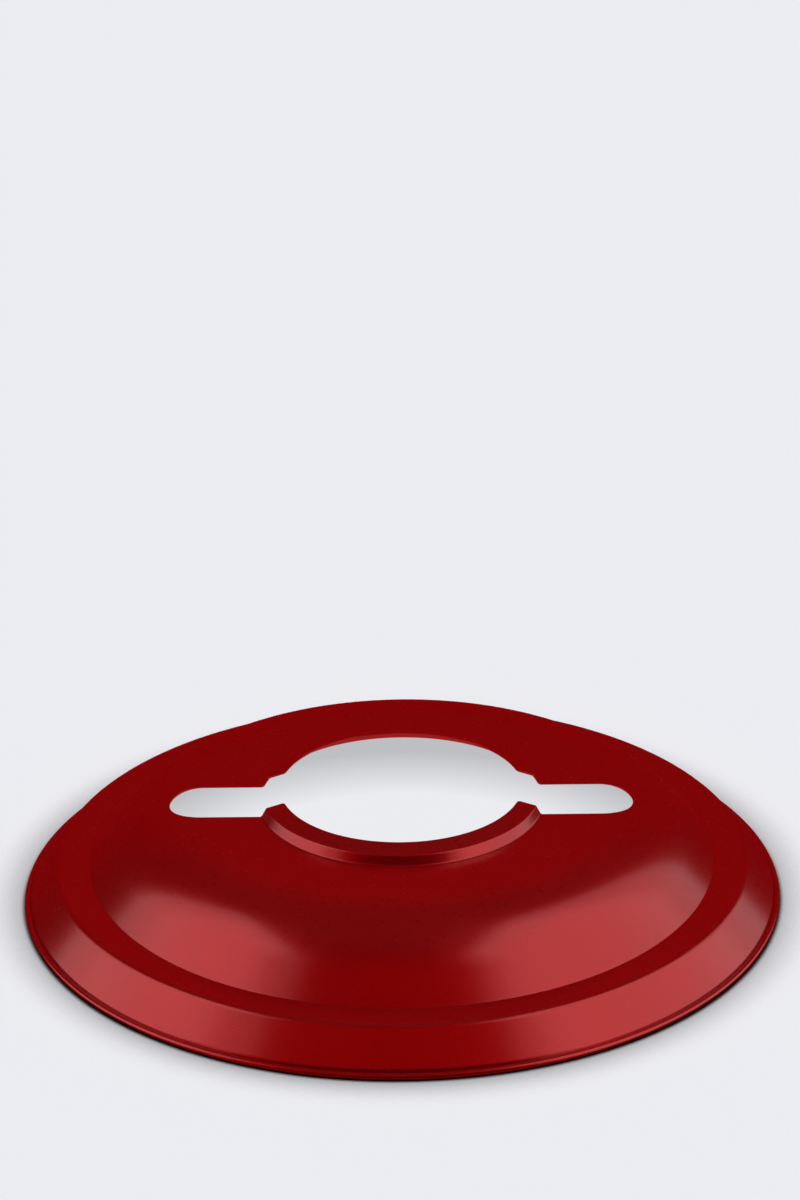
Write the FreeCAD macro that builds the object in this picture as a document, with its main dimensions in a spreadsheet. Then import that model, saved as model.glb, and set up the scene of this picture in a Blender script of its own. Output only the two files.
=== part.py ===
import FreeCAD, Part
import math
import os
import Sketcher
from FreeCAD import Vector

# Reflector shade of a hurricane lantern.
# A shallow round hat of sheet steel sits over the tubes of the lantern and throws the light down.
# It is one pressed sheet, with a collared hole for the lantern's chimney cap and one long cut
# across the hole that clears the tubes on both sides.
# The edge of the sheet is curled round a steel wire that keeps the rim round and safe to touch.
# +Z is up, the rim rests on z = 0, the long cut runs along X.

doc = FreeCAD.newDocument("reflector_shade")

# Driving sizes in millimetres; heights are those of the upper face of the sheet above the
# plane the rim rests on, radii are measured from the axis of the hole.
driving = [
    ("sheet_thickness", 0.5),
    ("rim_diameter", 250.0),
    ("wire_diameter", 1.1),
    ("hole_radius", 39.7),
    ("hole_height", 39.1),
    ("collar_radius", 45.5),
    ("collar_height", 37.15),
    ("collar_round", 0.8),
    ("foot_radius", 47.1),
    ("foot_round", 1.0),
    ("plateau_height", 34.0),
    ("shoulder_radius", 83.4),
    ("shoulder_round", 38.5),
    ("crease_radius", 103.2),
    ("crease_height", 13.5),
    ("crease_round", 0.8),
    ("ledge_radius", 113.7),
    ("ledge_height", 13.6),
    ("ledge_round", 3.0),
    ("skirt_radius", 122.9),
    ("skirt_height", 2.75),
    ("skirt_round", 2.0),
    ("punch_allowance", 1.0),
    ("punch_travel_over", 5.0),
    ("curl_tail_height", 0.40),
    ("slot_span", 152.5),
    ("slot_width", 22.0),
    ("corner_round", 1.5),
]

sheet = doc.addObject("Spreadsheet::Sheet", "sizes")
size = dict(driving)
row = 0
for alias, number in driving:
    row = row + 1
    sheet.set("A" + str(row), alias)
    sheet.set("B" + str(row), str(number))
    sheet.setAlias("B" + str(row), alias)
doc.recompute()


def body_planes(body):
    """Give the origin planes and axes of a body by their role."""
    return {part.Role: part for part in body.Origin.OriginFeatures}


def sketch_on(body, plane, name):
    """Add a sketch lying flat on one of the body's own origin planes."""
    sketch = body.newObject("Sketcher::SketchObject", name)
    sketch.AttachmentSupport = [(body_planes(body)[plane], "")]
    sketch.MapMode = "FlatFace"
    return sketch


def dimension(sketch, name, values, expression):
    """Add one named dimension and bind it to the sizes."""
    index = sketch.addConstraint(Sketcher.Constraint(*values))
    sketch.renameConstraint(index, name)
    sketch.setExpression("Constraints." + name, expression)
    return index


# ---------------------------------------------------------------------------------------------
# The pressed sheet
# ---------------------------------------------------------------------------------------------
shell = doc.addObject("PartDesign::Body", "shade_shell")
shell.Label = "shade_shell"
doc.recompute()

# The line of the upper face, from just inside the hole to the rim. The blank is longer than
# the finished sheet by the punch allowance, and the hole is punched afterwards.
collar_rise = "(sizes.hole_height - sizes.collar_height) / (sizes.collar_radius - sizes.hole_radius)"
rise = (size["hole_height"] - size["collar_height"]) / (size["collar_radius"] - size["hole_radius"])
corners = [
    (
        "blank",
        size["hole_radius"] - size["punch_allowance"],
        size["hole_height"] + rise * size["punch_allowance"],
        "sizes.hole_radius - sizes.punch_allowance",
        "sizes.hole_height + " + collar_rise + " * sizes.punch_allowance",
    ),
]
for name, radius, height in (
    ("collar", "collar_radius", "collar_height"),
    ("foot", "foot_radius", "plateau_height"),
    ("shoulder", "shoulder_radius", "plateau_height"),
    ("crease", "crease_radius", "crease_height"),
    ("ledge", "ledge_radius", "ledge_height"),
    ("skirt", "skirt_radius", "skirt_height"),
):
    corners.append((name, size[radius], size[height], "sizes." + radius, "sizes." + height))

# The curl goes round the wire, from the skirt under the wire and up the outside, and its edge
# closes on the skirt.
wire_radius = size["wire_diameter"] / 2
curl_radius = size["rim_diameter"] / 2 - wire_radius - size["sheet_thickness"]
curl_height = wire_radius + size["sheet_thickness"]
tail_angle = math.pi - math.asin(size["curl_tail_height"] / wire_radius)
skirt_end = Vector(curl_radius - wire_radius, curl_height, 0)

line = sketch_on(shell, "XZ_Plane", "sheet_line")
points = [Vector(corner[1], corner[2], 0) for corner in corners]
points.append(skirt_end)
for start, end in zip(points, points[1:]):
    line.addGeometry(Part.LineSegment(start, end), False)
last = len(points) - 2
for index in range(1, last + 1):
    line.addConstraint(Sketcher.Constraint("Coincident", index - 1, 2, index, 1))
for index, corner in enumerate(corners):
    geometry = max(index - 1, 0)
    end = 1 if index == 0 else 2
    name = corner[0]
    dimension(line, name + "_r", ("DistanceX", -1, 1, geometry, end, corner[1]), corner[3])
    dimension(line, name + "_z", ("DistanceY", -1, 1, geometry, end, corner[2]), corner[4])

circle = Part.Circle(Vector(curl_radius, curl_height, 0), Vector(0, 0, 1), wire_radius)
curl = line.addGeometry(Part.ArcOfCircle(circle, math.pi, 2 * math.pi + tail_angle), False)
line.addConstraint(Sketcher.Constraint("Tangent", last, 2, curl, 1))
dimension(
    line,
    "curl_radius",
    ("Radius", curl, wire_radius),
    "sizes.wire_diameter / 2",
)
dimension(
    line,
    "curl_r",
    ("DistanceX", -1, 1, curl, 3, curl_radius),
    "(sizes.rim_diameter - sizes.wire_diameter) / 2 - sizes.sheet_thickness",
)
dimension(
    line,
    "curl_z",
    ("DistanceY", -1, 1, curl, 3, curl_height),
    "sizes.wire_diameter / 2 + sizes.sheet_thickness",
)
dimension(
    line,
    "curl_tail",
    ("DistanceY", curl, 3, curl, 2, size["curl_tail_height"]),
    "sizes.curl_tail_height",
)

# Every bend of the sheet has its own radius.
for index in range(1, len(corners)):
    alias = corners[index][0] + "_round"
    before = (points[index - 1] + points[index]) * 0.5
    after = (points[index] + points[index + 1]) * 0.5
    line.fillet(index - 1, index, before, after, size[alias], True, True)
    arcs = [
        number
        for number, item in enumerate(line.Geometry)
        if item.TypeId == "Part::GeomArcOfCircle"
    ]
    dimension(line, alias, ("Radius", arcs[-1], size[alias]), "sizes." + alias)
doc.recompute()

# The sheet lies below that line, with the same thickness all along.
section = shell.newObject("PartDesign::SubShapeBinder", "sheet_section")
section.Support = [(line, "")]
section.OffsetFill = True
section.OffsetOpenResult = True
section.setExpression("Offset", "-sizes.sheet_thickness")
doc.recompute()

pressing = shell.newObject("PartDesign::Revolution", "pressing")
pressing.Profile = section
pressing.ReferenceAxis = (body_planes(shell)["Z_Axis"], [""])
pressing.Angle = 360
doc.recompute()
pressed_volume = pressing.Shape.Volume

# One punched opening: a round hole for the chimney cap, with a slot on each side for the
# lantern's tubes. The slots go through the collar, and the corners between them and the hole
# are rounded off.
outline = sketch_on(shell, "XY_Plane", "opening_outline")
hole_radius = size["hole_radius"]
corner_radius = size["corner_round"]
half_width = size["slot_width"] / 2
slot_end = size["slot_span"] / 2 - half_width
corner_y = half_width + corner_radius
corner_x = math.sqrt((hole_radius + corner_radius) ** 2 - corner_y ** 2)
corner_angle = math.atan2(corner_y, corner_x)
up = Vector(0, 0, 1)
quarter = math.pi / 2


def outline_arc(x, y, radius, start, end):
    """Add one arc of the outline, turning anticlockwise from start to end."""
    circle = Part.Circle(Vector(x, y, 0), up, radius)
    return outline.addGeometry(Part.ArcOfCircle(circle, start, end), False)


def outline_line(x, start_x, y):
    """Add one straight edge of a slot."""
    return outline.addGeometry(Part.LineSegment(Vector(start_x, y, 0), Vector(x, y, 0)), False)


rear = outline_arc(0, 0, hole_radius, corner_angle, math.pi - corner_angle)
front = outline_arc(0, 0, hole_radius, math.pi + corner_angle, 2 * math.pi - corner_angle)
right_end = outline_arc(slot_end, 0, half_width, -quarter, quarter)
left_end = outline_arc(-slot_end, 0, half_width, quarter, 3 * quarter)
rounds = []
edges = []
for side_x in (1, -1):
    for side_y in (1, -1):
        towards_hole = math.atan2(-side_y * corner_y, -side_x * corner_x)
        towards_slot = -side_y * quarter
        start, end = towards_hole, towards_slot
        if side_x * side_y < 0:
            start, end = towards_slot, towards_hole
        end = start + (end - start) % (2 * math.pi)
        number = outline_arc(side_x * corner_x, side_y * corner_y, corner_radius, start, end)
        rounds.append(number)
        edges.append(outline_line(side_x * slot_end, side_x * corner_x, side_y * half_width))

# Each piece of the outline runs on smoothly from the last.
hole_arcs = {1: rear, -1: front}
slot_ends = {1: right_end, -1: left_end}
index = 0
for side_x in (1, -1):
    for side_y in (1, -1):
        turned = side_x * side_y < 0
        corner = rounds[index]
        edge = edges[index]
        hole_point = 2 if turned else 1
        slot_point = 1 if turned else 2
        outline.addConstraint(
            Sketcher.Constraint("Tangent", hole_arcs[side_y], hole_point, corner, hole_point)
        )
        outline.addConstraint(Sketcher.Constraint("Tangent", corner, slot_point, edge, 1))
        outline.addConstraint(
            Sketcher.Constraint("Tangent", edge, 2, slot_ends[side_x], slot_point)
        )
        outline.addConstraint(Sketcher.Constraint("Horizontal", edge))
        index = index + 1
outline.addConstraint(Sketcher.Constraint("Coincident", rear, 3, -1, 1))
outline.addConstraint(Sketcher.Constraint("Coincident", front, 3, -1, 1))
outline.addConstraint(Sketcher.Constraint("Equal", rear, front))
outline.addConstraint(Sketcher.Constraint("Equal", right_end, left_end))
for number in rounds[1:]:
    outline.addConstraint(Sketcher.Constraint("Equal", rounds[0], number))
outline.addConstraint(Sketcher.Constraint("Symmetric", right_end, 3, left_end, 3, -1, 1))
outline.addConstraint(Sketcher.Constraint("PointOnObject", right_end, 3, -1))
dimension(outline, "hole_radius", ("Radius", rear, hole_radius), "sizes.hole_radius")
dimension(outline, "slot_radius", ("Radius", right_end, half_width), "sizes.slot_width / 2")
dimension(outline, "corner_round", ("Radius", rounds[0], corner_radius), "sizes.corner_round")
dimension(
    outline,
    "slot_end",
    ("DistanceX", -1, 1, right_end, 3, slot_end),
    "(sizes.slot_span - sizes.slot_width) / 2",
)
doc.recompute()
opening = shell.newObject("PartDesign::Pocket", "punched_opening")
opening.Profile = outline
opening.Reversed = True
opening.setExpression("Length", "sizes.hole_height + sizes.punch_travel_over")
doc.recompute()
punched_volume = opening.Shape.Volume

# ---------------------------------------------------------------------------------------------
# The wire inside the curled rim
# ---------------------------------------------------------------------------------------------
wire = doc.addObject("PartDesign::Body", "rim_wire")
wire.Label = "rim_wire"
doc.recompute()

wire_section = sketch_on(wire, "XZ_Plane", "wire_section")
wire_circle = Part.Circle(Vector(curl_radius, curl_height, 0), Vector(0, 0, 1), wire_radius)
wire_section.addGeometry(wire_circle, False)
dimension(
    wire_section,
    "wire_radius",
    ("Radius", 0, wire_radius),
    "sizes.wire_diameter / 2",
)
dimension(
    wire_section,
    "wire_r",
    ("DistanceX", -1, 1, 0, 3, curl_radius),
    "(sizes.rim_diameter - sizes.wire_diameter) / 2 - sizes.sheet_thickness",
)
dimension(
    wire_section,
    "wire_z",
    ("DistanceY", -1, 1, 0, 3, curl_height),
    "sizes.wire_diameter / 2 + sizes.sheet_thickness",
)
doc.recompute()
wire_ring = wire.newObject("PartDesign::Revolution", "wire_ring")
wire_ring.Profile = wire_section
wire_ring.ReferenceAxis = (body_planes(wire)["Z_Axis"], [""])
wire_ring.Angle = 360
doc.recompute()

# ---------------------------------------------------------------------------------------------
# Checks and files
# ---------------------------------------------------------------------------------------------
for item in doc.Objects:
    if "Invalid" in item.State or "Error" in item.State:
        raise RuntimeError(item.Name + " did not compute")
for sketch in (line, outline, wire_section):
    if not sketch.FullyConstrained:
        raise RuntimeError(sketch.Name + " is not fully constrained")
if not pressed_volume > punched_volume:
    raise RuntimeError("the opening did not remove material")

os.makedirs("parts", exist_ok=True)
for body in (shell, wire):
    shape = body.Shape
    if shape.isNull() or not shape.isValid() or len(shape.Solids) != 1:
        raise RuntimeError(body.Label + " is not one valid solid")
    shape.exportStep("parts/" + body.Label + ".step")
    box = shape.optimalBoundingBox()
    print(body.Label, round(shape.Volume, 1), "mm3", round(box.XLength, 3), round(box.ZMax, 3))
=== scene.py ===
import math

import bmesh
import bpy
import numpy as np
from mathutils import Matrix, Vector


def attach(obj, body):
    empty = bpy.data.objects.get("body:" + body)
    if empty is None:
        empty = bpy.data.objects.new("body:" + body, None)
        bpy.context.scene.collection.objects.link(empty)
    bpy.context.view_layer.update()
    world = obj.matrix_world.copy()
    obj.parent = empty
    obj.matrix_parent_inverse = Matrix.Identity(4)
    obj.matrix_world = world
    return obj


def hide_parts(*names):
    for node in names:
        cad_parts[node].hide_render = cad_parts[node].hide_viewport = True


# The looks of a hurricane lantern's reflector shade: a finely rounded sheet with its painted
# finish, on a pale studio floor. Lengths are in metres; MM turns millimetres into metres.

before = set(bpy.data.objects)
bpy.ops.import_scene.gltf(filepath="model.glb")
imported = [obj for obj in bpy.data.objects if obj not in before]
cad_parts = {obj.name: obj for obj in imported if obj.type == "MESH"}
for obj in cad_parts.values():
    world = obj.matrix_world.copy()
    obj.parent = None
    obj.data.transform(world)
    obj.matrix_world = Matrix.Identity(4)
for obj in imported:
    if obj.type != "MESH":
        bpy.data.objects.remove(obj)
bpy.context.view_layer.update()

MM = 0.001

# ---------------------------------------------------------------------------------------------
# Sizes of the pressed sheet, in millimetres
# ---------------------------------------------------------------------------------------------
SHEET = 0.5
RIM_RADIUS = 125.0
WIRE_RADIUS = 0.55
HOLE_RADIUS = 39.7
SLOT_HALF_WIDTH = 11.0
SLOT_TIP = 76.25
CORNER_ROUND = 1.5
CURL_TAIL_HEIGHT = 0.40
EDGE_BEVEL = 0.09

# Corners of the upper face from the hole to the skirt: radius, height, radius of the bend.
CORNERS = [
    (38.7, 39.44, 0.0),
    (45.5, 37.15, 0.8),
    (47.1, 34.0, 1.0),
    (83.4, 34.0, 38.5),
    (103.2, 13.5, 0.8),
    (113.7, 13.6, 3.0),
    (122.9, 2.75, 2.0),
]
CURL_CENTRE = (RIM_RADIUS - WIRE_RADIUS - SHEET, WIRE_RADIUS + SHEET)

# How finely the mesh follows the sheet: columns in half a turn, and gaps in millimetres.
COLUMNS = 112
ARC_STEP = math.radians(5.0)
BEND_MARGIN = 0.25
TIP_STEPS = 24
CORNER_STEPS = 8
RING_STEP = 2.0
LEAST_POINT_GAP = 0.01
LEAST_RING_GAP = 0.02
BLEND_WIDTH = 0.3
SEAM_GAP = 0.002
SLIVER = 0.0005
SHARP_ANGLE = math.radians(28.0)


# ---------------------------------------------------------------------------------------------
# The line of the sheet
# ---------------------------------------------------------------------------------------------
def unit(vector):
    """The vector's direction, with a length of 1."""
    return vector / np.linalg.norm(vector)


def arc_points(centre, radius, start, end):
    """Points along an arc, with the direction away from its centre at each."""
    steps = max(2, math.ceil(abs(end - start) / ARC_STEP))
    angles = np.linspace(start, end, steps + 1)
    away = np.stack([np.cos(angles), np.sin(angles)], axis=1)
    return np.asarray(centre) + radius * away, away


def bend(before, corner, after, radius):
    """The arc that rounds a corner, and the upward normal along it."""
    incoming = unit(corner - before)
    outgoing = unit(after - corner)
    turn = math.atan2(
        incoming[0] * outgoing[1] - incoming[1] * outgoing[0],
        float(incoming @ outgoing),
    )
    tangent = radius * math.tan(abs(turn) / 2)
    start = corner - incoming * tangent
    side = math.copysign(1.0, turn)
    towards_centre = side * np.array([-incoming[1], incoming[0]])
    centre = start + radius * towards_centre
    start_angle = math.atan2(start[1] - centre[1], start[0] - centre[0])
    points, away = arc_points(centre, radius, start_angle, start_angle + turn)
    return points, -side * away


def skirt_tangent(point):
    """Where a straight line from point touches the wire from the inside."""
    to_centre = np.array(CURL_CENTRE) - point
    distance = np.linalg.norm(to_centre)
    lean = math.asin(WIRE_RADIUS / distance)
    heading = math.atan2(to_centre[1], to_centre[0]) - lean
    length = math.sqrt(distance ** 2 - WIRE_RADIUS ** 2)
    return point + length * np.array([math.cos(heading), math.sin(heading)])


def sheet_line():
    """Points of the upper face from the hole to the end of the curl, with their normals."""
    corners = [np.array(corner[:2]) for corner in CORNERS]
    touch = skirt_tangent(corners[-1])
    corners.append(touch)
    points = [corners[0]]
    first = unit(corners[1] - corners[0])
    normals = [np.array([-first[1], first[0]])]
    for index in range(1, len(corners) - 1):
        arc, normal = bend(
            corners[index - 1], corners[index], corners[index + 1], CORNERS[index][2]
        )
        straight = arc[0] - points[-1]
        margin = min(BEND_MARGIN, np.linalg.norm(straight) / 3)
        points.append(points[-1] + unit(straight) * margin)
        normals.append(normal[0])
        points.append(arc[0] - unit(straight) * margin)
        normals.append(normal[0])
        points.extend(arc)
        normals.extend(normal)
    start = math.atan2(touch[1] - CURL_CENTRE[1], touch[0] - CURL_CENTRE[0])
    start = start % (2 * math.pi)
    end = 3 * math.pi - math.asin(CURL_TAIL_HEIGHT / WIRE_RADIUS)
    curl, away = arc_points(CURL_CENTRE, WIRE_RADIUS, start, end)
    points.extend(curl)
    normals.extend(-away)
    return np.array(points), np.array(normals)


def drop_doubles(points):
    """The same line without points that lie almost on the one before."""
    keep = [0]
    for index in range(1, len(points)):
        if np.linalg.norm(points[index] - points[keep[-1]]) > LEAST_POINT_GAP:
            keep.append(index)
    return points[keep]


upper_line, line_normals = sheet_line()
lower_line = drop_doubles(upper_line - SHEET * line_normals)
upper_line = drop_doubles(upper_line)


def height_of(line, radius):
    """Height of a face of the sheet at a radius inside the skirt."""
    inner = line[line[:, 0] < SLOT_TIP + 10]
    return np.interp(radius, inner[:, 0], inner[:, 1])


# ---------------------------------------------------------------------------------------------
# The punched opening: a hole, two slots and four rounded corners
# ---------------------------------------------------------------------------------------------
TIP_CENTRE = SLOT_TIP - SLOT_HALF_WIDTH
CORNER_Y = SLOT_HALF_WIDTH + CORNER_ROUND
CORNER_DISTANCE = HOLE_RADIUS + CORNER_ROUND
CORNER_X = math.sqrt(CORNER_DISTANCE ** 2 - CORNER_Y ** 2)


def opening_point(radius, offset):
    """Point of the opening's edge, moved into the sheet by offset, at a distance from the axis.
    It lies at x > 0, y > 0; the second value is the direction into the sheet."""
    half_width = SLOT_HALF_WIDTH + offset
    if radius >= math.hypot(TIP_CENTRE, half_width):
        cosine = (radius ** 2 + TIP_CENTRE ** 2 - half_width ** 2) / (2 * radius * TIP_CENTRE)
        angle = math.acos(min(1.0, cosine))
        point = radius * np.array([math.cos(angle), math.sin(angle)])
        return point, unit(point - np.array([TIP_CENTRE, 0.0]))
    if radius >= math.hypot(CORNER_X, half_width):
        angle = math.asin(half_width / radius)
        return radius * np.array([math.cos(angle), math.sin(angle)]), np.array([0.0, 1.0])
    corner = CORNER_ROUND - offset
    cosine = (radius ** 2 + CORNER_DISTANCE ** 2 - corner ** 2) / (2 * radius * CORNER_DISTANCE)
    angle = math.atan2(CORNER_Y, CORNER_X) - math.acos(min(1.0, cosine))
    point = radius * np.array([math.cos(angle), math.sin(angle)])
    return point, unit(np.array([CORNER_X, CORNER_Y]) - point)


def opening_rings(offset):
    """Radii of the rings that the opening cuts, from its hole to the tips of its slots."""
    half_width = SLOT_HALF_WIDTH + offset
    tip_angles = np.linspace(0, math.pi / 2, TIP_STEPS + 1)[:-1]
    tip_x = TIP_CENTRE + half_width * np.cos(tip_angles)
    tip_y = half_width * np.sin(tip_angles)
    corner_end = math.hypot(CORNER_X, half_width)
    rings = list(np.hypot(tip_x, tip_y))
    rings += list(np.linspace(HOLE_RADIUS + offset, corner_end, CORNER_STEPS + 1))
    for line in (upper_line, lower_line):
        rings += [radius for radius in line[:, 0] if corner_end < radius < rings[0]]
    rings += list(np.arange(corner_end, rings[0], RING_STEP))
    rings = sorted(rings)
    keep = [rings[0]]
    for radius in rings[1:]:
        if radius - keep[-1] > LEAST_RING_GAP:
            keep.append(radius)
    return keep


# ---------------------------------------------------------------------------------------------
# The shell's mesh
# ---------------------------------------------------------------------------------------------
class HalfShell:
    """Collects the points and faces of the half of the shell with y > 0."""

    def __init__(self):
        self.points = []
        self.faces = []

    def row(self, coordinates):
        """Add a row of points and give their numbers."""
        start = len(self.points)
        self.points.extend(coordinates)
        return list(range(start, len(self.points)))

    def strip(self, row_a, row_b):
        """Join two rows of equal length with faces."""
        for index in range(len(row_a) - 1):
            self.faces.append((row_a[index], row_a[index + 1], row_b[index + 1], row_b[index]))


def half_ring(radius, height, start):
    """Points of a ring over the half turn, from the start angle to its mirror image."""
    angles = np.linspace(start, math.pi - start, COLUMNS + 1)
    return [(radius * math.cos(a), radius * math.sin(a), height) for a in angles]


def face_rows(half, line, cut_rings):
    """Rows of points over one face of the sheet, from the hole to the end of the curl."""
    rows = []
    for radius in cut_rings:
        point, _ = opening_point(radius, EDGE_BEVEL)
        start = math.atan2(point[1], point[0])
        rows.append(half.row(half_ring(radius, height_of(line, radius), start)))
    for radius, height in line:
        if radius > SLOT_TIP + EDGE_BEVEL + BLEND_WIDTH:
            rows.append(half.row(half_ring(radius, height, 0.0)))
    for row_a, row_b in zip(rows, rows[1:]):
        half.strip(row_a, row_b)
    return rows


def opening_chain(rows, cut_count):
    """Numbers of a face's points along the opening, from tip to tip round the hole."""
    right = [rows[index][0] for index in range(cut_count - 1, 0, -1)]
    left = [rows[index][-1] for index in range(1, cut_count)]
    return right + rows[0] + left


def opening_line(cut_rings):
    """Points of the opening's true edge, from tip to tip round the hole."""
    right = []
    for radius in reversed(cut_rings[1:]):
        point, inward = opening_point(radius, EDGE_BEVEL)
        right.append(point - EDGE_BEVEL * inward)
    corner, _ = opening_point(cut_rings[0], EDGE_BEVEL)
    start = math.atan2(corner[1], corner[0])
    angles = np.linspace(start, math.pi - start, COLUMNS + 1)
    hole = [HOLE_RADIUS * np.array([math.cos(a), math.sin(a)]) for a in angles]
    left = [np.array([-x, y]) for x, y in reversed(right)]
    return right + hole + left


def build_half():
    """Both faces, the cut edge with its bevels, and the edge of the curl."""
    half = HalfShell()
    cut_rings = opening_rings(EDGE_BEVEL)
    upper = face_rows(half, upper_line, cut_rings)
    lower = face_rows(half, lower_line, cut_rings)
    edge = opening_line(cut_rings)
    edge_rows = []
    for line, shift in ((upper_line, -EDGE_BEVEL), (lower_line, EDGE_BEVEL)):
        heights = [height_of(line, math.hypot(x, y)) + shift for x, y in edge]
        edge_rows.append(half.row([(x, y, h) for (x, y), h in zip(edge, heights)]))
    half.strip(opening_chain(upper, len(cut_rings)), edge_rows[0])
    half.strip(edge_rows[0], edge_rows[1])
    half.strip(edge_rows[1], opening_chain(lower, len(cut_rings)))
    half.strip(upper[-1], lower[-1])
    return half


def build_shell():
    """The half and its copy, turned half round and joined to it."""
    half = build_half()
    count = len(half.points)
    points = [(x * MM, y * MM, z * MM) for x, y, z in half.points]
    points += [(-x, -y, z) for x, y, z in points]
    faces = half.faces + [tuple(index + count for index in face) for face in half.faces]
    mesh = bpy.data.meshes.new("shade_shell_skin")
    mesh.from_pydata(points, [], faces)
    work = bmesh.new()
    work.from_mesh(mesh)
    bmesh.ops.remove_doubles(work, verts=work.verts, dist=SEAM_GAP * MM)
    bmesh.ops.dissolve_degenerate(work, dist=SLIVER * MM, edges=work.edges)
    bmesh.ops.recalc_face_normals(work, faces=work.faces)
    open_edges = sum(1 for edge in work.edges if not edge.is_manifold)
    work.to_mesh(mesh)
    work.free()
    print("shell faces", len(mesh.polygons), "open edges", open_edges)
    mesh.polygons.foreach_set("use_smooth", [True] * len(mesh.polygons))
    mesh.set_sharp_from_angle(angle=SHARP_ANGLE)
    shell = bpy.data.objects.new("shell_skin", mesh)
    bpy.context.scene.collection.objects.link(shell)
    return shell


# ---------------------------------------------------------------------------------------------
# Materials
# ---------------------------------------------------------------------------------------------
class Nodes:
    """Short ways to add and join shader nodes."""

    def __init__(self, name):
        self.material = bpy.data.materials.new(name)
        self.material.use_nodes = True
        self.tree = self.material.node_tree
        self.tree.nodes.clear()

    def add(self, kind, **values):
        node = self.tree.nodes.new(kind)
        for key, value in values.items():
            setattr(node, key, value)
        return node

    def join(self, source, target):
        self.tree.links.new(source, target)

    def noise(self, vector, scale, detail):
        node = self.add("ShaderNodeTexNoise")
        node.inputs["Scale"].default_value = scale
        node.inputs["Detail"].default_value = detail
        self.join(vector, node.inputs["Vector"])
        return node.outputs["Fac"]

    def span(self, value, low, high, to_low, to_high):
        """Carry the range from low to high over to another range, and stop at its ends."""
        node = self.add("ShaderNodeMapRange")
        node.inputs["From Min"].default_value = low
        node.inputs["From Max"].default_value = high
        node.inputs["To Min"].default_value = to_low
        node.inputs["To Max"].default_value = to_high
        self.join(value, node.inputs["Value"])
        return node.outputs["Result"]

    def mix(self, factor, colour_a, colour_b):
        """From colour_a at a factor of 0 to colour_b at 1."""
        node = self.add("ShaderNodeMix", data_type="RGBA")
        self.join(factor, node.inputs["Factor"])
        ends = [item for item in node.inputs if item.type == "RGBA"]
        for end, colour in zip(ends, (colour_a, colour_b)):
            end.default_value = (*colour, 1.0)
        return next(item for item in node.outputs if item.type == "RGBA")

    def bump(self, height, distance, strength, normal=None):
        """Relief of a height, on top of an earlier relief if there is one."""
        node = self.add("ShaderNodeBump")
        node.inputs["Distance"].default_value = distance
        node.inputs["Strength"].default_value = strength
        self.join(height, node.inputs["Height"])
        if normal is not None:
            self.join(normal, node.inputs["Normal"])
        return node.outputs["Normal"]


# The two ends of the paint's slightly uneven colour.
THIN_FILM_RED = (0.43, 0.0013, 0.0025)
THICK_FILM_RED = (0.41, 0.001, 0.002)


def red_paint():
    """Glossy deep red powder coat: a faint orange peel, and a slightly uneven film."""
    nodes = Nodes("red_powder_coat")
    place = nodes.add("ShaderNodeTexCoord").outputs["Object"]
    shader = nodes.add("ShaderNodeBsdfPrincipled")
    out = nodes.add("ShaderNodeOutputMaterial")
    nodes.join(shader.outputs["BSDF"], out.inputs["Surface"])

    cloud = nodes.noise(place, 38.0, 3.0)
    film = nodes.span(cloud, 0.35, 0.65, 0.0, 1.0)
    colour = nodes.mix(film, THICK_FILM_RED, THIN_FILM_RED)
    nodes.join(colour, shader.inputs["Base Color"])

    grain = nodes.noise(place, 420.0, 2.0)
    nodes.join(nodes.span(grain, 0.3, 0.7, 0.27, 0.31), shader.inputs["Roughness"])

    peel = nodes.noise(place, 900.0, 1.0)
    wave = nodes.noise(place, 55.0, 0.0)
    surface = nodes.bump(wave, 0.03 * MM, 0.25)
    surface = nodes.bump(peel, 0.0012 * MM, 0.5, surface)
    nodes.join(surface, shader.inputs["Normal"])
    nodes.join(surface, shader.inputs["Coat Normal"])

    shader.inputs["Metallic"].default_value = 0.6
    shader.inputs["Specular IOR Level"].default_value = 0.0
    shader.inputs["Coat Weight"].default_value = 1.0
    shader.inputs["Coat Roughness"].default_value = 0.19
    shader.inputs["Coat IOR"].default_value = 1.45
    return nodes.material


DULL_STEEL = (0.42, 0.42, 0.43)
BRIGHT_STEEL = (0.56, 0.56, 0.57)


def drawn_wire():
    """Bare drawn steel wire with fine lines along it."""
    nodes = Nodes("drawn_wire")
    place = nodes.add("ShaderNodeTexCoord").outputs["Object"]
    shader = nodes.add("ShaderNodeBsdfPrincipled")
    out = nodes.add("ShaderNodeOutputMaterial")
    nodes.join(shader.outputs["BSDF"], out.inputs["Surface"])
    streak = nodes.noise(place, 700.0, 2.0)
    colour = nodes.mix(streak, DULL_STEEL, BRIGHT_STEEL)
    nodes.join(colour, shader.inputs["Base Color"])
    nodes.join(nodes.span(streak, 0.3, 0.7, 0.3, 0.45), shader.inputs["Roughness"])
    nodes.join(nodes.bump(streak, 0.01 * MM, 0.4), shader.inputs["Normal"])
    shader.inputs["Metallic"].default_value = 1.0
    return nodes.material


# ---------------------------------------------------------------------------------------------
# The object
# ---------------------------------------------------------------------------------------------
shell = build_shell()
shell.data.materials.append(red_paint())
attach(shell, "root")
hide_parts("shade_shell")

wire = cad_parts["rim_wire"]
wire_material = drawn_wire()
for wire_slot in wire.material_slots:
    wire_slot.material = wire_material

# ---------------------------------------------------------------------------------------------
# Studio
# ---------------------------------------------------------------------------------------------
# Brightness of the background, then of the even light, the light from above and the soft boxes.
BACKDROP = (0.831, 0.839, 0.871)
AMBIENT = 0.16
OVERHEAD = 0.86
SOFTBOX = 1.30

OVERHEAD_PLACE = (0.0, 0.5, 1.0)
OVERHEAD_SPREAD = math.radians(70)

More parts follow.
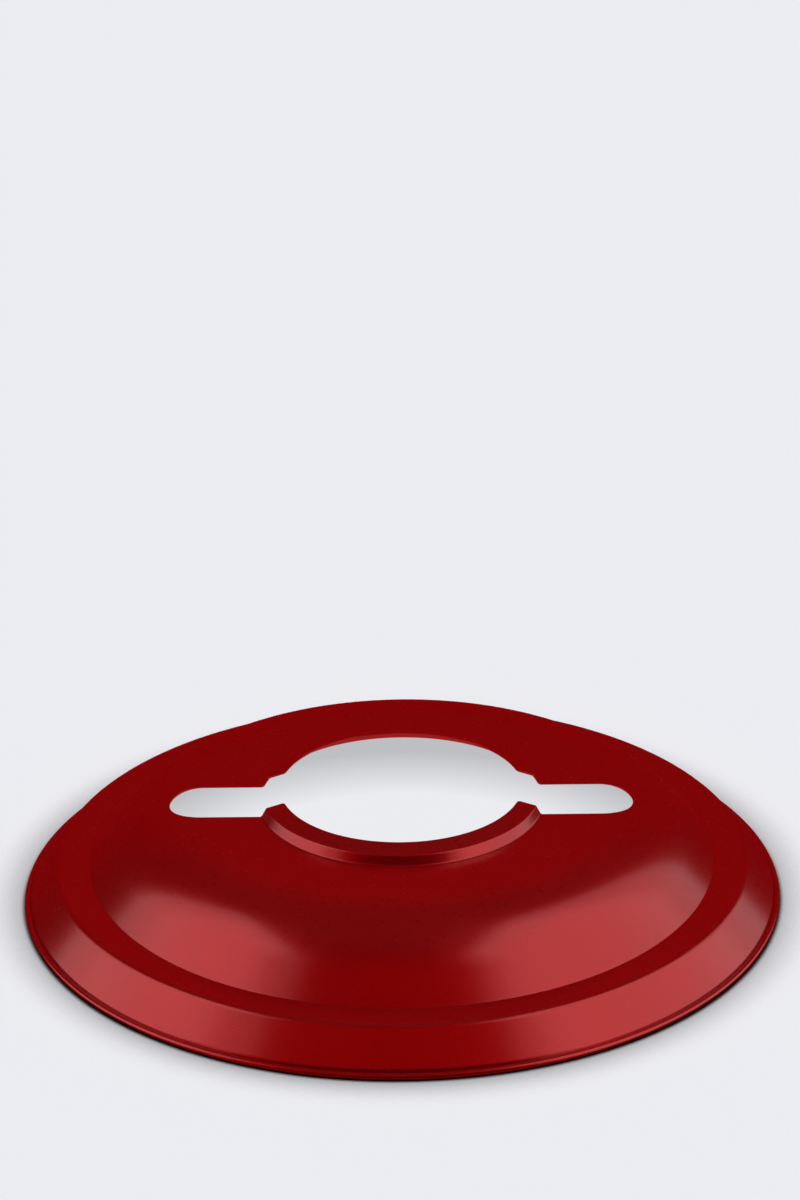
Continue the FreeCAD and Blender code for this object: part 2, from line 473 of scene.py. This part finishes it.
# The floor is a ring round a middle piece, which ends out of sight below the shade. The share
# makes the ring as bright as the background. The painted contact shadow on the ring reaches so
# far from the rim, in metres.
MIDDLE = 0.118
FLOOR_RADIUS = 12.0
FLOOR_SEGMENTS = 128
FLOOR_SHARE = 1.11
SHADOW_REACH = 0.017
SHADOW_POWER = 3.4

# The middle piece glows with painted light, bright as far as LIT_RADIUS, and falls to DIM_LEVEL
# at
# DIM_RADIUS: painted shade below the shade's skirt.
LIT_RADIUS = 0.072
DIM_RADIUS = 0.104
DIM_LEVEL = 0.62
# Colour of the middle piece in gloss: painted red bounce light from the shade's underside.
PAINTED_RED_BOUNCE = (0.75, 0.16, 0.17)

# The upright soft boxes: distance from the axis, range of heights, and strips from front to
# rear, each with its brightness as a share of SOFTBOX.
RIGHT_PANEL = {
    "x": 1.0,
    "heights": (0.05, 3.2),
    "strips": (((-1.25, -0.9), 0.5), ((-0.9, 0.5), 1.0), ((0.5, 0.9), 0.65)),
}
LEFT_PANEL = {
    "x": -1.0,
    "heights": (0.08, 1.85),
    "strips": (((-0.85, -0.5), 0.5), ((-0.5, 0.3), 1.08), ((0.3, 0.55), 0.8)),
}


def floor_round_material():
    """A pale matt floor, its colour darkened close to the rim: a painted contact shadow all
    round.
    """
    nodes = Nodes("pale_floor")
    # Painted shadow: ambient occlusion darkens the floor's colour near the shade.
    openness = nodes.add("ShaderNodeAmbientOcclusion")
    openness.inputs["Distance"].default_value = SHADOW_REACH
    shade = nodes.add("ShaderNodeMath", operation="POWER")
    nodes.join(openness.outputs["AO"], shade.inputs[0])
    shade.inputs[1].default_value = SHADOW_POWER
    pale = [FLOOR_SHARE * channel for channel in BACKDROP]
    colour = nodes.mix(shade.outputs["Value"], (0.0, 0.0, 0.0), pale)
    matt = nodes.add("ShaderNodeBsdfDiffuse")
    nodes.join(colour, matt.inputs["Color"])
    out = nodes.add("ShaderNodeOutputMaterial")
    nodes.join(matt.outputs["BSDF"], out.inputs["Surface"])
    return nodes.material


def floor_middle_material():
    """The floor below the shade, a glowing piece with painted light: bright in the middle, with
    painted shade towards the rim. In gloss it looks red, a painted light as if lit from the red
    underside."""
    nodes = Nodes("pale_floor_middle")
    place = nodes.add("ShaderNodeTexCoord").outputs["Object"]
    distance = nodes.add("ShaderNodeVectorMath", operation="LENGTH")
    nodes.join(place, distance.inputs[0])
    # Painted shade: the glow dims from LIT_RADIUS to DIM_RADIUS.
    level = nodes.span(distance.outputs["Value"], LIT_RADIUS, DIM_RADIUS, 1.0, DIM_LEVEL)
    light = nodes.add("ShaderNodeEmission")
    light.inputs["Color"].default_value = (*BACKDROP, 1.0)
    nodes.join(level, light.inputs["Strength"])
    # Painted red bounce light, seen only by gloss.
    gloss = nodes.add("ShaderNodeEmission")
    gloss.inputs["Color"].default_value = (*PAINTED_RED_BOUNCE, 1.0)
    choice = nodes.add("ShaderNodeMixShader")
    ray = nodes.add("ShaderNodeLightPath")
    nodes.join(ray.outputs["Is Glossy Ray"], choice.inputs[0])
    nodes.join(light.outputs["Emission"], choice.inputs[1])
    nodes.join(gloss.outputs["Emission"], choice.inputs[2])
    out = nodes.add("ShaderNodeOutputMaterial")
    nodes.join(choice.outputs["Shader"], out.inputs["Surface"])
    return nodes.material


def add_floor(name, inner, outer, material):
    """One round piece of the floor, from its inner to its outer radius. Only the piece without a
    hole shows in the paint's gloss."""
    work = bmesh.new()
    bmesh.ops.create_circle(work, cap_ends=inner == 0.0, segments=FLOOR_SEGMENTS, radius=outer)
    if inner:
        bmesh.ops.create_circle(work, segments=FLOOR_SEGMENTS, radius=inner)
        bmesh.ops.bridge_loops(work, edges=work.edges)
    mesh = bpy.data.meshes.new(name)
    work.to_mesh(mesh)
    work.free()
    floor = bpy.data.objects.new(name, mesh)
    floor.data.materials.append(material)
    floor.visible_glossy = inner == 0.0
    bpy.context.scene.collection.objects.link(floor)


# What the paint's gloss sees of the room, by the direction from front (-1) to back (+1):
# a dim red, brightest low in front and dark overhead.
ROOM_TINT = (1.0, 0.004, 0.01)
ROOM = (
    (-1.00, 0.00),
    (-0.80, 0.08),
    (-0.63, 0.62),
    (-0.50, 0.38),
    (-0.20, 0.07),
    (0.10, 0.00),
    (0.62, 0.00),
    (0.74, 0.12),
    (0.84, 0.19),
)


def add_world():
    """Pale where the camera sees it, an even soft light on matt surfaces, and the dim red room in
    the gloss of the paint."""
    world = bpy.data.worlds.new("studio")
    world.use_nodes = True
    tree = world.node_tree
    tree.nodes.clear()

    def background(colour, strength):
        node = tree.nodes.new("ShaderNodeBackground")
        node.inputs["Color"].default_value = (*colour, 1.0)
        node.inputs["Strength"].default_value = strength
        return node

    def choose(factor, shader_a, shader_b):
        node = tree.nodes.new("ShaderNodeMixShader")
        tree.links.new(factor, node.inputs[0])
        tree.links.new(shader_a, node.inputs[1])
        tree.links.new(shader_b, node.inputs[2])
        return node.outputs[0]

    place = tree.nodes.new("ShaderNodeTexCoord")
    split = tree.nodes.new("ShaderNodeSeparateXYZ")
    tree.links.new(place.outputs["Generated"], split.inputs["Vector"])
    across = tree.nodes.new("ShaderNodeMapRange")
    across.inputs["From Min"].default_value = -1.0
    tree.links.new(split.outputs["Y"], across.inputs["Value"])
    room = tree.nodes.new("ShaderNodeValToRGB")
    while len(room.color_ramp.elements) < len(ROOM):
        room.color_ramp.elements.new(0.5)
    for stop, (direction, level) in zip(room.color_ramp.elements, ROOM):
        stop.position = (direction + 1) / 2
        stop.color = (*(level * channel for channel in ROOM_TINT), 1.0)
    tree.links.new(across.outputs["Result"], room.inputs["Fac"])
    gloss = background(BACKDROP, 1.0)
    tree.links.new(room.outputs["Color"], gloss.inputs["Color"])

    ray = tree.nodes.new("ShaderNodeLightPath")
    shown = background(BACKDROP, 1.0).outputs[0]
    soft = background(BACKDROP, AMBIENT).outputs[0]
    light = choose(ray.outputs["Is Camera Ray"], soft, shown)
    light = choose(ray.outputs["Is Glossy Ray"], light, gloss.outputs[0])
    out = tree.nodes.new("ShaderNodeOutputWorld")
    tree.links.new(light, out.inputs["Surface"])
    bpy.context.scene.world = world


def aim(thing, target):
    """Turn a light or a camera towards a point."""
    direction = Vector(target) - thing.location
    thing.rotation_euler = direction.to_track_quat("-Z", "Y").to_euler()


def add_overhead():
    """A broad light from above and behind."""
    data = bpy.data.lights.new("overhead", "SUN")
    data.energy = OVERHEAD * math.pi
    data.angle = OVERHEAD_SPREAD
    sun = bpy.data.objects.new("overhead", data)
    sun.location = OVERHEAD_PLACE
    aim(sun, (0, 0, 0))
    sun.visible_glossy = False
    bpy.context.scene.collection.objects.link(sun)


def add_softbox(name, x, heights, strips):
    """An upright panel of light at x, facing the axis, made of strips from front to rear."""
    for (front, rear), share in strips:
        width = rear - front
        tall = heights[1] - heights[0]
        data = bpy.data.lights.new(name, "AREA")
        data.shape = "RECTANGLE"
        data.size = tall
        data.size_y = width
        data.energy = share * SOFTBOX * math.pi * width * tall
        panel = bpy.data.objects.new(name, data)
        panel.location = (x, (front + rear) / 2, sum(heights) / 2)
        panel.rotation_euler = (0, math.copysign(math.pi / 2, x), 0)
        panel.visible_camera = False
        panel.visible_diffuse = False
        bpy.context.scene.collection.objects.link(panel)


add_floor("floor_middle", 0.0, MIDDLE, floor_middle_material())
add_floor("floor_round", MIDDLE, FLOOR_RADIUS, floor_round_material())
add_world()
add_overhead()
add_softbox("right_panel", **RIGHT_PANEL)
add_softbox("left_panel", **LEFT_PANEL)

# ---------------------------------------------------------------------------------------------
# Camera
# ---------------------------------------------------------------------------------------------
CAMERA_DISTANCE = 1.7
CAMERA_ELEVATION = 28.04
CAMERA_AZIMUTH = 0.295
CAMERA_AIM = (0.0004, 0.0, 0.1065)
CAMERA_ROLL = -0.69
CAMERA_LENS = 153.4
SENSOR_HEIGHT = 36.0
CLIP_END = 60.0


def add_camera():
    """A long lens, looking down on the shade from the front."""
    data = bpy.data.cameras.new("view")
    data.sensor_fit = "VERTICAL"
    data.sensor_height = SENSOR_HEIGHT
    data.lens = CAMERA_LENS
    data.clip_end = CLIP_END
    camera = bpy.data.objects.new("view", data)
    rise = math.radians(CAMERA_ELEVATION)
    turn = math.radians(CAMERA_AZIMUTH)
    camera.location = (
        CAMERA_DISTANCE * math.cos(rise) * math.sin(turn),
        -CAMERA_DISTANCE * math.cos(rise) * math.cos(turn),
        CAMERA_DISTANCE * math.sin(rise),
    )
    aim(camera, CAMERA_AIM)
    camera.rotation_euler.rotate_axis("Z", math.radians(CAMERA_ROLL))
    bpy.context.scene.collection.objects.link(camera)
    bpy.context.scene.camera = camera


add_camera()
bpy.context.scene.view_settings.view_transform = "Standard"
